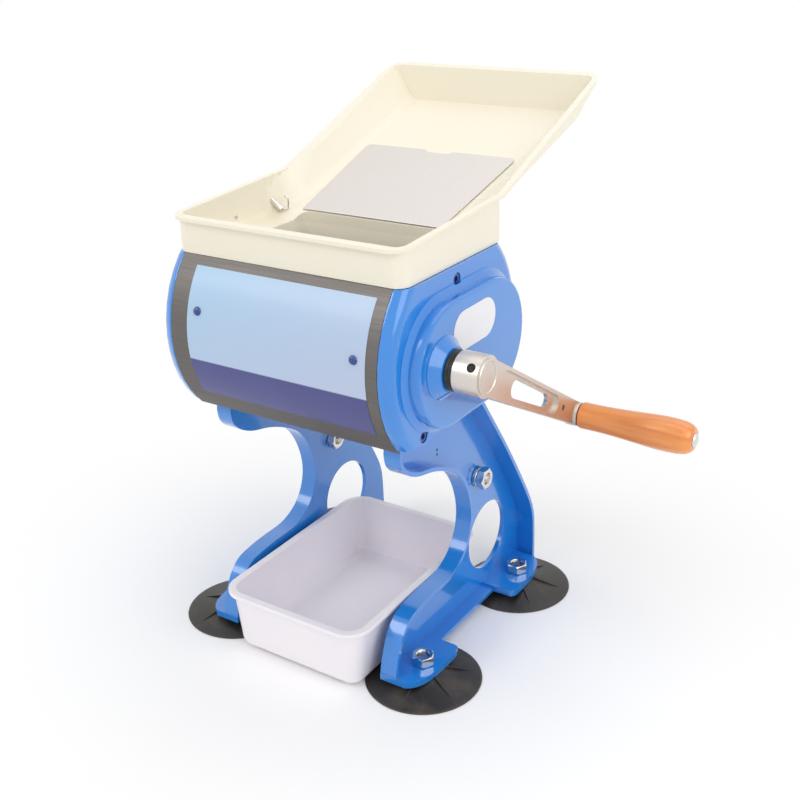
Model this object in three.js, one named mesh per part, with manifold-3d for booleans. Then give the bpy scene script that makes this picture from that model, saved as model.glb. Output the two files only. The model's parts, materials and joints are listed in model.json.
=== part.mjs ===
// Hand-cranked jerky slicer: two interleaved blade rollers in a drum body on cast legs.
// Millimetres. +X is the crank side, +Y the back, +Z up, and the machine stands on z = 0.
import * as THREE from "three";
import { mergeVertices } from "three/addons/utils/BufferGeometryUtils.js";
import Module from "manifold-3d";

const wasm = await Module();
wasm.setup();

// Clearances
const gap = 0.3; // between pieces that touch
const runningGap = 0.3; // round a shaft in its bush
const bladeGap = 1.5; // from a blade's edge to what stands still

// Feet
const footX = 86;
const footY = 71.3;
const cupRadius = 42.5;
const cupHeight = 7.7;
const cupLip = 1.2;
const cupRise = 2.2;
const cupContact = 8;
const studRadius = 4;
const studHeight = 19;
const nutAcross = 15;
const nutHeight = 7;

// Cast side frames
const webInner = 66.6;
const webThickness = 3.4;
const flangeThickness = 3;
const frontFlange = 9.7;
const rearFlange = 15;
const soleReach = 11;
const soleZ = 8;
const padThickness = 5;
const padReach = 13.6;
const toeLength = 26.7;
const heelLength = 32.7;
const legHoleRadius = 28;
const legHoleY = 50;
const legHoleZ = 53;
const waistY = 9;
const waistZ = 104;

// Drum body
const drumY = -31.5;
const drumZ = 245;
const drumRadius = 82;
const drumCrown = 55.4; // from the shafts up to the flat top
const drumKeel = 52.5; // and down to the flat bottom
const sheet = 1.2;
const panelHalf = 85.2;
const panelDrop = 3.5;
const frontRivets = [
  [-61.6, 22.5],
  [67.6, 13.1],
];
const rearRivets = [
  [-66, 18],
  [66, 18],
];
const rivetShank = 1.6;
const rivetHead = 3.2;
const rivetTail = 2.2;

// End covers
const coverFace = 95;
const coverEdge = 8;
const coverWall = 4;
const shoulderRise = 3;
const shoulderSlope = 5;
const housingRise = 11;
const housingRadius = 42.65;
const housingFrontY = -55.2;
const housingLength = 51.8;
const housingDrop = 2.7;
const housingRound = 3;
const bossHeight = 7;
const bossRadius = 21;
const bossTip = 15;
const coverScrewRadius = 2.5;
const coverScrewHead = 4.2;
const coverScrewSink = 5;
const coverScrewRise = 4;
const coverScrewKey = 4;
const coverPillar = 7;
const upperScrewY = -33.2;
const upperScrewDrop = 8.8;
const lowerScrewY = -76.8;
const lowerScrewRise = 5.1;
const leftBoss = 3;

// Blade rollers
const shaftRadius = 8;
const frontShaftY = -68.5;
const shaftZ = drumZ;
const gearModule = 2;
const gearTeeth = 24;
const gearWidth = 12;
const gearSetback = 5;
const gearHub = 13;
const gearRecess = 17;
const rearShaftPast = 12;
const shaftTail = 8;
const bladePitch = 10;
const bladeThickness = 1.5;
const bladeRadius = 28;
const sleeveRadius = 13;
const sleeveEndGap = 4;
const bushWall = 4;
const bushFlange = 2;
const combFinger = 3;
const combHook = 6;
const combBar = 6.5;
const combSpread = 0.28;

// Crank
const sealLength = 5.5;
const sealRadius = 13.5;
const hubRadius = 14;
const hubLength = 18.2;
const armAngle = -30.2;
const armLength = 158.5;
const armThickness = 8;
const armRail = 2.6;
const armWeb = 3;
const armRoot = 12.4;
const armTip = 8.3;
const armEye = 9;
const windowStart = 42;
const windowEnd = 103;
const armHoleRadius = 2.3;
const armHoleFromGrip = 31;
const eyeBoss = 1.5;
const gripLength = 86;
const gripNeck = 9.8;
const gripBelly = 12.5;
const gripEndRim = 4;
const gripPinRadius = 3.5;
const gripPinHead = 5;

// Hopper
const hopperHalf = 92.5;
const hopperWall = 2.5;
const hopperFrontY = -92;
const trayRise = 3; // heights over the drum's flat top
const chuteStartRise = 9.6;
const rimFrontRise = 25.6;
const creaseRise = 32.8;
const chuteEndRise = 90.4;
const trayHalf = 87.5;
const floorRamp = 9;
const cove = 5;
const creaseY = 31;
const chuteEndY = 182;
const rimLip = 4;
const rimThickness = 2.4;
const skirtEndY = 34;
const cornerRadius = 9;
const throatHalf = 62;
const throatFrontY = -70;
const throatRearY = 6;
const throatCorner = 10;
const chuteSlope = 0.303;
const chuteHalfLow = 66.5;
const chuteHalfHigh = 73;
const plateHalfLow = 59;
const plateHalfHigh = 65;
const plateLength = 100;
const plateNotch = 12;

// Catch tub
const tubHalfX = 62.5;
const tubFrontY = -119;
const tubRearY = 56;
const tubHeight = 51.5;
const tubWall = 2;
const tubLip = 4;
const tubLipHeight = 3;
const tubDraft = 3.5;
const tubRound = 6;
const tubInnerRound = 11;
const tubCorner = 18;
const tubBaseHalf = 42;
const tubBaseHeight = 2.4;

// Frame bolts, one through each side frame
const boltY = 34.5;
const boltZ = 111.7;
const boltRadius = 4;
const boltTail = 10.5;
const boltInnerTail = 8;
const boltNutAcross = 15;
const boltNutHeight = 6.2;
const washerRadius = 8;
const washerThickness = 2.9;

const drumTop = drumZ + drumCrown;
const drumBottom = drumZ - drumKeel;
const housingZ = drumZ - housingDrop;
const upperScrew = [upperScrewY, drumTop - upperScrewDrop];
const lowerScrew = [lowerScrewY, drumBottom + lowerScrewRise];
const trayFloor = drumTop + trayRise;
const chuteStartZ = drumTop + chuteStartRise;
const rimFrontZ = drumTop + rimFrontRise;
const creaseZ = drumTop + creaseRise;
const chuteEndZ = drumTop + chuteEndRise;
const webOuter = webInner + webThickness;
const rearShaftY = frontShaftY + gearModule * gearTeeth;
const sleeveHalf = webInner - gap - bushFlange - sleeveEndGap;
const bladeCount = Math.floor((2 * sleeveHalf) / bladePitch);
const housingFace = coverFace + housingRise;
const bossFace = housingFace + bossHeight;
const hubStart = bossFace + gap + sealLength + gap;
const hubEnd = hubStart + hubLength;
const seatRadius = drumRadius - sheet - gap;
const padTop = soleZ + padThickness;
const bushRadius = shaftRadius + runningGap + bushWall;
const gripY = frontShaftY + armLength * Math.cos(THREE.MathUtils.degToRad(armAngle));
const gripZ = shaftZ + armLength * Math.sin(THREE.MathUtils.degToRad(armAngle));
const gripStart = hubEnd + eyeBoss + gap;

const blue = { color: 0x2b86e6, roughness: 0.22, metalness: 0.1 };
const cream = { color: 0xf6eccb, roughness: 0.45, metalness: 0 };
const steel = { color: 0xa79d96, roughness: 0.35, metalness: 1 };
const chrome = { color: 0xd8d6d3, roughness: 0.12, metalness: 1 };
const bronze = { color: 0xb08a4a, roughness: 0.4, metalness: 1 };
const rubber = { color: 0x2b2825, roughness: 0.7, metalness: 0 };
const white = { color: 0xf3f1f4, roughness: 0.4, metalness: 0 };
const wood = { color: 0xd98543, roughness: 0.4, metalness: 0 };
const navy = { color: 0x1c3f86, roughness: 0.3, metalness: 0.2 };

// A geometry as a solid, turned right side out.
function solid(geometry) {
  const bare = geometry.index ? geometry.toNonIndexed() : geometry.clone();
  bare.deleteAttribute("normal");
  bare.deleteAttribute("uv");
  const merged = mergeVertices(bare, 1e-4);
  const corners = new Uint32Array(merged.index.array);
  const build = () =>
    new wasm.Manifold(
      new wasm.Mesh({
        numProp: 3,
        vertProperties: merged.attributes.position.array,
        triVerts: corners,
      }),
    );
  const first = build();
  if (first.volume() > 0) return first;
  for (let i = 0; i < corners.length; i += 3) {
    const kept = corners[i];
    corners[i] = corners[i + 1];
    corners[i + 1] = kept;
  }
  return build();
}

function join(...solids) {
  return solids.reduce((all, one) => all.add(one));
}

function cut(body, ...tools) {
  return tools.reduce((left, tool) => left.subtract(tool), body);
}

function piece(name, body, finish) {
  const mesh = body.getMesh();
  const stride = mesh.numProp;
  const position = new Float32Array(mesh.numVert * 3);
  for (let i = 0; i < mesh.numVert; i++) {
    position.set(mesh.vertProperties.subarray(i * stride, i * stride + 3), i * 3);
  }
  const geometry = new THREE.BufferGeometry();
  geometry.setAttribute("position", new THREE.BufferAttribute(position, 3));
  geometry.setIndex(new THREE.BufferAttribute(mesh.triVerts, 1));
  const part = new THREE.Mesh(geometry, new THREE.MeshStandardMaterial(finish));
  part.name = name;
  return part;
}

// A side-view outline in (y, z), extruded between two planes of x.
function across(shape, x0, x1, options = {}) {
  const geometry = new THREE.ExtrudeGeometry(shape, {
    depth: x1 - x0,
    bevelEnabled: false,
    curveSegments: 24,
    ...options,
  });
  geometry.translate(0, 0, x0);
  const axes = new THREE.Matrix4().makeBasis(
    new THREE.Vector3(0, 1, 0),
    new THREE.Vector3(0, 0, 1),
    new THREE.Vector3(1, 0, 0),
  );
  return solid(geometry.applyMatrix4(axes));
}

// A plan outline in (x, y), extruded between two heights.
function upward(shape, z0, z1, segments = 6) {
  const geometry = new THREE.ExtrudeGeometry(shape, {
    depth: z1 - z0,
    bevelEnabled: false,
    curveSegments: segments,
  });
  return solid(geometry.translate(0, 0, z0));
}

// A profile of (radius, x) turned about an axis along X.
function turned(profile, y, z, steps = 32) {
  const points = profile.map(([r, x]) => new THREE.Vector2(r, x));
  const geometry = new THREE.LatheGeometry(points, steps);
  geometry.rotateZ(-Math.PI / 2);
  return solid(geometry.translate(0, y, z));
}

function rod(radius, x0, x1, y, z, steps = 20) {
  return turned([[0, x0], [radius, x0], [radius, x1], [0, x1]], y, z, steps);
}

function ringAcross(inner, outer, x0, x1, y, z, steps = 20) {
  const profile = [[inner, x0], [outer, x0], [outer, x1], [inner, x1], [inner, x0]];
  return turned(profile, y, z, steps);
}

function box(x0, x1, y0, y1, z0, z1) {
  const geometry = new THREE.BoxGeometry(x1 - x0, y1 - y0, z1 - z0);
  return solid(geometry.translate((x0 + x1) / 2, (y0 + y1) / 2, (z0 + z1) / 2));
}

// Closed rings of equal count, skinned one to the next and capped at both ends.
function skinned(rings) {
  const count = rings[0].length;
  const position = rings.flat().flatMap((p) => [p.x, p.y, p.z]);
  const index = [];
  for (let r = 0; r + 1 < rings.length; r++) {
    for (let i = 0; i < count; i++) {
      const a = r * count + i;
      const b = r * count + ((i + 1) % count);
      index.push(a, b, a + count, b, b + count, a + count);
    }
  }
  const last = (rings.length - 1) * count;
  for (let i = 1; i + 1 < count; i++) {
    index.push(0, i + 1, i);
    index.push(last, last + i, last + i + 1);
  }
  const geometry = new THREE.BufferGeometry();
  geometry.setAttribute("position", new THREE.Float32BufferAttribute(position, 3));
  geometry.setIndex(index);
  return solid(geometry);
}

function hexAcross(width, x0, x1, y, z) {
  return rod(width / Math.sqrt(3), x0, x1, y, z, 6);
}

function roundedPlan(x0, x1, y0, y1, r) {
  const shape = new THREE.Shape();
  shape.moveTo(x0 + r, y0);
  shape.absarc(x1 - r, y0 + r, r, -Math.PI / 2, 0, false);
  shape.absarc(x1 - r, y1 - r, r, 0, Math.PI / 2, false);
  shape.absarc(x0 + r, y1 - r, r, Math.PI / 2, Math.PI, false);
  shape.absarc(x0 + r, y0 + r, r, Math.PI, 1.5 * Math.PI, false);
  return shape;
}

function stadium(y0, length, z, radius) {
  const shape = new THREE.Shape();
  shape.absarc(y0, z, radius, Math.PI / 2, 1.5 * Math.PI, false);
  shape.absarc(y0 + length, z, radius, -Math.PI / 2, Math.PI / 2, false);
  shape.closePath();
  return shape;
}

// A strip of even thickness on the left of a line of points.
function ribbon(points, thickness) {
  const inner = points.map((point, i) => {
    const before = points[Math.max(i - 1, 0)];
    const after = points[Math.min(i + 1, points.length - 1)];
    const along = after.clone().sub(before).normalize();
    return new THREE.Vector2(point.x - along.y * thickness, point.y + along.x * thickness);
  });
  return new THREE.Shape([...points, ...inner.reverse()]);
}

function drumAngle(z) {
  return Math.asin((z - drumZ) / drumRadius);
}

// Leg edges in (y, z), each from the drum down to the sole.
const noseY = drumY - 50.5;
const plateRadius = seatRadius - coverWall;
const noseTop = drumZ - Math.sqrt(plateRadius ** 2 - (noseY - drumY) ** 2);
const frontEdge = new THREE.SplineCurve([
  new THREE.Vector2(noseY, noseTop),
  new THREE.Vector2(noseY, drumZ - 72),
  new THREE.Vector2(noseY + 15, drumZ - 85.5),
  new THREE.Vector2(noseY + 49, drumZ - 96),
  new THREE.Vector2(waistY - 13, waistZ + 26),
  new THREE.Vector2(waistY, waistZ - 7),
  new THREE.Vector2(waistY - 7, waistZ - 33),
  new THREE.Vector2(-footY + 52, soleZ + 49),
  new THREE.Vector2(-footY + 16, soleZ + 47),
  new THREE.Vector2(-footY - 9, soleZ + 41),
  new THREE.Vector2(-footY - 22.5, soleZ + 20),
  new THREE.Vector2(-footY - toeLength, soleZ),
]);
const heelAngle = THREE.MathUtils.degToRad(-50.4);
const rearEdge = new THREE.SplineCurve([
  new THREE.Vector2(
    drumY + plateRadius * Math.cos(heelAngle),
    drumZ + plateRadius * Math.sin(heelAngle),
  ),
  new THREE.Vector2(drumY + 82.5, drumZ - 106),
  new THREE.Vector2(footY + 11.7, soleZ + 82),
  new THREE.Vector2(footY + 29.7, soleZ + 48),
  new THREE.Vector2(footY + heelLength, soleZ + 20),
  new THREE.Vector2(footY + heelLength, soleZ),
]);

function webOutline() {
  const topAngle = Math.asin((drumTop - gap - drumZ) / plateRadius);
  const noseAngle = Math.atan2(noseTop - drumZ, noseY - drumY);
  const shape = new THREE.Shape(frontEdge.getPoints(20).reverse());
  shape.absarc(drumY, drumZ, plateRadius, noseAngle, Math.PI - topAngle, true);
  shape.absarc(drumY, drumZ, plateRadius, topAngle, heelAngle, true);
  rearEdge.getPoints(10).forEach((p) => shape.lineTo(p.x, p.y));
  shape.closePath();
  return shape;
}

// One foot pad: a lobe that leaves the web at the sole and carries the foot stud.
function footPad(side) {
  const outer = footX + padReach;
  const near = side * (footY - 30);
  const far = side * (footY + toeLength);
  const pad = new THREE.Shape();
  pad.moveTo(webInner, near);
  pad.lineTo(outer - 5, near);
  pad.quadraticCurveTo(outer, near, outer, near + side * 9);
  pad.lineTo(outer, near + side * 24);
  pad.quadraticCurveTo(outer, far - side * 6, outer - 12, far);
  pad.lineTo(webInner, far);
  pad.closePath();
  return upward(pad, soleZ, padTop, 6);
}

function shaftHoles(radius, x0, x1) {
  return [
    rod(radius, x0, x1, frontShaftY, shaftZ),
    rod(radius, x0, x1, rearShaftY, shaftZ),
  ];
}

// Cast side frame of channel section, open outwards, with the bearing plate on top.
function sideFrame() {
  const web = across(webOutline(), webInner, webOuter, { curveSegments: 16 });
  const frontStrip = ribbon(frontEdge.getPoints(20), flangeThickness);
  const rearStrip = ribbon(rearEdge.getPoints(10).reverse(), flangeThickness);
  const front = across(frontStrip, webInner, webOuter + frontFlange);
  const rear = across(rearStrip, webInner, webOuter + rearFlange);
  const sole = box(
    webInner,
    webOuter + soleReach,
    -footY - toeLength,
    footY + heelLength,
    soleZ,
    soleZ + flangeThickness,
  );
  const below = box(-500, 500, -500, 500, soleZ - 50, soleZ);
  const body = join(web, front, rear, sole, footPad(-1), footPad(1));
  const [near, far] = [webInner - 1, webOuter + 1];
  return cut(
    body,
    below,
    rod(legHoleRadius, near, far, legHoleY, legHoleZ, 28),
    rod(boltRadius + gap, near, far, boltY, boltZ, 16),
    ...shaftHoles(bushRadius + gap, near, far),
    ...[upperScrew, lowerScrew].map(([y, z]) => rod(coverScrewRadius + gap, near, far, y, z, 12)),
    ...[-footY, footY].map(studHole),
  );
}

function upright(radius, z0, z1, x, y, steps = 20) {
  const geometry = new THREE.CylinderGeometry(radius, radius, z1 - z0, steps);
  geometry.rotateX(Math.PI / 2);
  return solid(geometry.translate(x, y, (z0 + z1) / 2));
}

function studHole(y) {
  return upright(studRadius + gap, soleZ - 1, padTop + 1, footX, y, 16);
}

// Drum end: a turned dish with a rounded rim, cut flat at the top and the bottom.
function dish(start, radius, edge, face, low, high) {
  const arc = [];
  const steps = 3;
  for (let i = 0; i <= steps; i++) {
    const turn = (i / steps) * (Math.PI / 2);
    arc.push([radius - edge + edge * Math.cos(turn), face - edge + edge * Math.sin(turn)]);
  }
  const profile = [[0, start[0][1]], ...start, ...arc, [0, face]];
  const round = turned(profile, drumY, drumZ, 44);
  return round.intersect(box(0, 300, -300, 300, low, high));
}

function coverShell() {
  const rebate = panelHalf + gap;
  const seat = [[seatRadius, webOuter + gap], [seatRadius, rebate], [drumRadius, rebate]];
  const outer = dish(seat, drumRadius, coverEdge, coverFace, drumBottom, drumTop);
  const inner = dish(
    [[plateRadius, webInner]],
    plateRadius,
    coverEdge - 2,
    coverFace - coverWall,
    drumBottom + coverWall,
    drumTop - coverWall,
  );
  return { outer, inner };
}

function pillars(face) {
  return [upperScrew, lowerScrew].map(([y, z]) => rod(coverPillar, webOuter + gap, face, y, z, 16));
}

function screwHoles(face) {
  return [upperScrew, lowerScrew].flatMap(([y, z]) => [
    rod(coverScrewRadius + gap, webInner, face + 1, y, z, 12),
    rod(coverScrewHead + gap, face - coverScrewSink, face + 1, y, z, 16),
  ]);
}

// Crank-side cover: the dish, a sloped shoulder, the gear housing and the shaft boss.
function gearCover() {
  const { outer, inner } = coverShell();
  const shoulder = across(
    stadium(housingFrontY, housingLength, housingZ, housingRadius + 0.8),
    coverFace - 2,
    coverFace + shoulderRise - shoulderSlope / 2,
    {
      bevelEnabled: true,
      bevelSize: shoulderSlope,
      bevelThickness: shoulderSlope / 2,
      bevelOffset: -shoulderSlope + 4,
      bevelSegments: 1,
      curveSegments: 13,
    },
  ).intersect(rod(drumRadius - 6, 0, 200, drumY, drumZ, 44));
  const flat = housingRound;
  const housing = across(
    stadium(housingFrontY, housingLength, housingZ, housingRadius - flat),
    coverFace - 1,
    housingFace - flat,
    {
      bevelEnabled: true,
      bevelSize: flat,
      bevelThickness: flat,
      bevelSegments: 2,
      curveSegments: 13,
    },
  );
  const bossProfile = [
    [0, coverFace],
    [bossRadius, coverFace],
    [bossRadius, housingFace + 0.5],
    [bossTip, bossFace],
    [0, bossFace],
  ];
  const boss = turned(bossProfile, frontShaftY, shaftZ, 32);
  const hollow = across(
    stadium(housingFrontY, housingLength, housingZ, housingRadius - coverWall),
    webOuter,
    housingFace - coverWall,
    { curveSegments: 13 },
  );
  const body = cut(join(outer, shoulder, housing, boss), inner, hollow);
  return cut(
    join(body, ...pillars(coverFace - gap)),
    rod(shaftRadius + runningGap + bushWall / 2, webOuter, bossFace + 1, frontShaftY, shaftZ),
    ...screwHoles(coverFace),
  );
}

function plainCover() {
  const { outer, inner } = coverShell();
  const pad = across(
    stadium(frontShaftY, rearShaftY - frontShaftY, shaftZ, bushRadius + 8),
    coverFace - 1,
    coverFace,
    {
      bevelEnabled: true,
      bevelSize: leftBoss,
      bevelThickness: leftBoss,
      bevelSegments: 2,
      curveSegments: 12,
    },
  );
  const shell = cut(join(outer, pad), inner);
  return cut(join(shell, ...pillars(coverFace - gap)), ...screwHoles(coverFace));
}

// A bent sheet that closes the drum between the two covers.
function drumSheet(a0, a1) {
  const shape = new THREE.Shape();
  shape.absarc(drumY, drumZ, drumRadius, a0, a1, false);
  shape.absarc(drumY, drumZ, drumRadius - sheet, a1, a0, true);
  shape.closePath();
  return across(shape, -panelHalf, panelHalf, { curveSegments: 20 });
}

// Where a rivet leaves the drum sheet: a placing for geometry whose own axis is +Y.
function onDrum(x, rise, side) {
  const angle = drumAngle(drumZ + rise);
  const out = new THREE.Vector3(0, side * Math.cos(angle), Math.sin(angle));
  const turn = new THREE.Quaternion().setFromUnitVectors(new THREE.Vector3(0, 1, 0), out);
  const seat = out.multiplyScalar(drumRadius).add(new THREE.Vector3(x, drumY, drumZ));
  return new THREE.Matrix4().compose(seat, turn, new THREE.Vector3(1, 1, 1));
}

function rivet([x, rise], side) {
  const inner = -sheet - gap;
  const profile = [
    [0, inner - 1.5],
    [rivetTail, inner - 1.5],
    [rivetTail, inner],
    [rivetShank, inner],
    [rivetShank, gap],
    [rivetHead, gap],
    [rivetHead - 0.7, gap + 1.2],
    [rivetHead / 2, gap + 1.7],
    [0, gap + 1.9],
  ].map(([r, h]) => new THREE.Vector2(r, h));
  return solid(new THREE.LatheGeometry(profile, 12).applyMatrix4(onDrum(x, rise, side)));
}

function rivetHole([x, rise], side) {
  const tool = new THREE.CylinderGeometry(rivetShank + gap, rivetShank + gap, 8, 12);
  return solid(tool.applyMatrix4(onDrum(x, rise, side)));
}

// Spur gear outline in (y, z), with its first tooth at the given angle.
function gearOutline(y, z, phase) {
  const pitchRadius = (gearModule * gearTeeth) / 2;
  const toothShares = [
    [-1.25, 0.31],
    [1, 0.12],
  ];
  const shape = new THREE.Shape();
  for (let tooth = 0; tooth < gearTeeth; tooth++) {
    const middle = phase + (tooth / gearTeeth) * Math.PI * 2;
    const left = toothShares.map(([rise, half]) => [rise, -half]);
    const right = toothShares.map(([rise, half]) => [rise, half]).reverse();
    [...left, ...right].forEach(([rise, half], i) => {
      const r = pitchRadius + rise * gearModule;
      const angle = middle + (half / gearTeeth) * Math.PI * 2;
      const point = [y + r * Math.cos(angle), z + r * Math.sin(angle)];
      if (tooth === 0 && i === 0) shape.moveTo(...point);
      else shape.lineTo(...point);
    });
  }
  shape.closePath();
  return shape;
}

function gear(y, phase) {
  const start = webOuter + gearSetback;
  const wheel = across(gearOutline(y, shaftZ, phase), start, start + gearWidth);
  const end = start + gearWidth;
  const recess = ringAcross(gearHub, gearRecess, end - 3, end + 1, y, shaftZ);
  return cut(wheel, rod(shaftRadius + gap, start - 1, end + 1, y, shaftZ), recess);
}

// Blades and the sleeve that spaces them, turned as one set.
function bladeSet(y, count) {
  const half = bladeThickness / 2;
  const bore = shaftRadius + gap;
  const profile = [[bore, -sleeveHalf], [sleeveRadius, -sleeveHalf]];
  for (let i = 0; i < count; i++) {
    const x = (i - (count - 1) / 2) * bladePitch;
    profile.push([sleeveRadius, x - half], [bladeRadius, x], [sleeveRadius, x + half]);
  }
  profile.push([sleeveRadius, sleeveHalf], [bore, sleeveHalf], [bore, -sleeveHalf]);
  return turned(profile, y, shaftZ, 20);
}

function sector(y, z, r0, r1, a0, a1) {
  const shape = new THREE.Shape();
  shape.absarc(y, z, r1, a0, a1, false);
  shape.absarc(y, z, r0, a1, a0, true);
  shape.closePath();
  return shape;
}

// Stripper comb: a bar across the drum with a hooked finger between neighbouring blades.
function comb(y, count, facing) {
  const middle = facing > 0 ? -0.44 : Math.PI + 0.44;
  const inner = sleeveRadius + gap + 0.4;
  const clear = bladeRadius + bladeGap;
  const span = webInner - gap;
  const bar = across(
    sector(y, shaftZ, clear, clear + combBar, middle - combSpread, middle + combSpread / 2),
    -span,
    span,
    { curveSegments: 2 },
  );
  const hookEnd = facing > 0 ? -Math.PI / 2 + 0.1 : Math.PI * 1.5 - 0.1;
  const hookStart = facing > 0 ? 0.35 : Math.PI - 0.35;
  const low = Math.min(hookStart, hookEnd);
  const high = Math.max(hookStart, hookEnd);
  const hook = sector(y, shaftZ, inner, inner + combHook, low, high);
  const stem = sector(y, shaftZ, inner + 1, clear + 2, middle - 0.16, middle + 0.16);
  const fingers = [];
  for (let i = 0; i < count; i++) {
    const x = (i - (count - 1) / 2) * bladePitch;
    const x0 = x - combFinger / 2;
    const x1 = x + combFinger / 2;
    fingers.push(
      across(hook, x0, x1, { curveSegments: 4 }),
      across(stem, x0, x1, { curveSegments: 1 }),
    );
  }
  return join(bar, ...fingers);
}

function bush(y) {
  const profile = [
    [shaftRadius + runningGap, webInner - bushFlange - gap],
    [bushRadius + 3, webInner - bushFlange - gap],
    [bushRadius + 3, webInner - gap],
    [bushRadius, webInner - gap],
    [bushRadius, webOuter + 2],
    [shaftRadius + runningGap, webOuter + 2],
    [shaftRadius + runningGap, webInner - bushFlange - gap],
  ];
  return turned(profile, y, shaftZ, 16);
}

function coverScrew([y, z], face) {
  const seat = face - coverScrewSink + gap;
  const top = seat + coverScrewRise;
  const screw = turned(
    [
      [0, webInner + 0.5],
      [coverScrewRadius, webInner + 0.5],
      [coverScrewRadius, seat],
      [coverScrewHead, seat],
      [coverScrewHead, top],
      [0, top],
    ],
    y,
    z,
    12,
  );
  return cut(screw, hexAcross(coverScrewKey, top - 2.5, top + 1, y, z));
}

// Crank arm in its own frame: u along the arm, v across it, then turned to its angle.
function armBlank(points) {
  const angle = THREE.MathUtils.degToRad(armAngle);
  const place = ([u, v]) =>
    new THREE.Vector2(
      frontShaftY + u * Math.cos(angle) - v * Math.sin(angle),
      shaftZ + u * Math.sin(angle) + v * Math.cos(angle),
    );
  return new THREE.Shape(points.map(place));
}

function armHalfAt(u) {
  return armRoot + ((armTip - armRoot) * u) / armLength;
}

function armSlot(u0, u1, inset) {
  const v0 = armHalfAt(u0) - inset;
  const v1 = armHalfAt(u1) - inset;
  const points = [];
  for (let i = 0; i <= 6; i++) {
    const turn = -Math.PI / 2 + (i / 6) * Math.PI;
    points.push([u1 - v1 + v1 * Math.cos(turn), v1 * Math.sin(turn)]);
  }
  for (let i = 0; i <= 6; i++) {
    const turn = Math.PI / 2 + (i / 6) * Math.PI;
    points.push([u0 + v0 + v0 * Math.cos(turn), v0 * Math.sin(turn)]);
  }
  return armBlank(points);
}

function crankArm() {
  const back = hubEnd - armThickness;
  const outline = [
    [0, -armHalfAt(0)],
    [armLength, -armHalfAt(armLength)],
    [armLength, armHalfAt(armLength)],
    [0, armHalfAt(0)],
  ];
  const body = join(
    across(armBlank(outline), back, hubEnd),
    rod(hubRadius, hubStart, hubEnd, frontShaftY, shaftZ, 32),
    rod(armEye, back, hubEnd + eyeBoss, gripY, gripZ, 24),
  );
  const relief = (armThickness - armWeb) / 2;
  const holeAt = armLength - armHoleFromGrip;
  const recess = armSlot(hubRadius + 4, holeAt - 10, armRail);
  const angle = THREE.MathUtils.degToRad(armAngle);
  return cut(
    body,
    across(recess, back - 1, back + relief),
    across(recess, hubEnd - relief, hubEnd + 1),
    across(armSlot(windowStart, windowEnd, armRail + 2.4), back - 1, hubEnd + 1),
    rod(shaftRadius + gap, hubStart - 1, hubEnd - 3, frontShaftY, shaftZ),
    rod(gripPinRadius + gap, back - 1, gripStart, gripY, gripZ, 16),
    rod(
      armHoleRadius,
      back - 1,
      hubEnd + 1,
      frontShaftY + holeAt * Math.cos(angle),
      shaftZ + holeAt * Math.sin(angle),
      14,
    ),
  );
}

// Wooden grip: a ferrule end, a waist and a full belly, bored for its pin.
function grip() {
  const outline = new THREE.SplineCurve([
    new THREE.Vector2(gripNeck, 0),
    new THREE.Vector2(gripNeck + 0.2, 0.23 * gripLength),
    new THREE.Vector2((gripNeck + gripBelly) / 2, 0.5 * gripLength),
    new THREE.Vector2(gripBelly, 0.77 * gripLength),
    new THREE.Vector2(gripBelly - 1, 0.93 * gripLength),
    new THREE.Vector2(gripPinHead + gripEndRim, gripLength),
  ]);
  const bore = gripPinRadius + runningGap;
  const start = [bore, gripStart];
  const profile = outline.getPoints(10).map((p) => [p.x, gripStart + p.y]);
  return turned([start, ...profile, [bore, gripStart + gripLength], start], gripY, gripZ, 24);
}

function gripPin() {
  const back = hubEnd - armThickness;
  const end = gripStart + gripLength + gap;
  return turned(
    [
      [0, back - 2.5],
      [gripPinHead, back - 2.5],
      [gripPinHead, back - gap],
      [gripPinRadius, back - gap],
      [gripPinRadius, end],
      [gripPinHead, end],
      [gripPinHead - 1.5, end + 1.8],
      [0, end + 2.2],
    ],
    gripY,
    gripZ,
    18,
  );
}

function chuteFloor(y) {
  return chuteStartZ + (y - throatRearY) * chuteSlope;
}

function rimHeight(y) {
  if (y < creaseY) {
    return rimFrontZ + ((y - hopperFrontY) * (creaseZ - rimFrontZ)) / (creaseY - hopperFrontY);
  }
  return creaseZ + ((y - creaseY) * (chuteEndZ - creaseZ)) / (chuteEndY - creaseY);
}

// The trough's floor at a given y: its height and half its width, from tray to chute.
function floorAt(y) {
  const share = THREE.MathUtils.smoothstep(y, throatRearY - floorRamp, throatRearY);
  const narrowing = THREE.MathUtils.smoothstep(y, throatRearY - floorRamp, creaseY);
  const along = Math.max(y - throatRearY, 0) / (chuteEndY - throatRearY);
  const chuteHalf = chuteHalfLow + (chuteHalfHigh - chuteHalfLow) * along;
  const height = trayFloor + (chuteFloor(Math.max(y, throatRearY)) - trayFloor) * share;
  return { height, half: trayHalf + (chuteHalf - trayHalf) * narrowing };
}

// The hopper's inner or outer skin: a coved floor between walls that lean out to the rim.
function trough(y0, y1, offset) {
  const ring = (y) => {
    const { height, half } = floorAt(y);
    const bottom = height - offset;
    const foot = half + offset * 0.6;
    const brim = hopperHalf - hopperWall + offset;
    const rise = rimHeight(y) - height;
    const over = 1 + 30 / rise;
    const lean = (brim - foot) * over;
    const coved = Math.min(cove, rise / 2);
    const side = [
      [foot - coved * 0.9, bottom],
      [foot - coved * 0.2, bottom + coved * 0.2],
      [foot + (brim - foot) * (coved / rise), bottom + coved],
      [foot + lean, bottom + rise * over],
    ];
    const right = side.map(([x, z]) => new THREE.Vector3(x, y, z));
    const left = side.map(([x, z]) => new THREE.Vector3(-x, y, z)).reverse();
    return [...right, ...left];
  };
  const turns = [-floorRamp, -floorRamp / 2, 0, 9, 18, 27].map((d) => throatRearY + d);
  const between = turns.filter((y) => y > y0 && y < y1);
  return skinned([y0, ...between, y1].map(ring));
}

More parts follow.
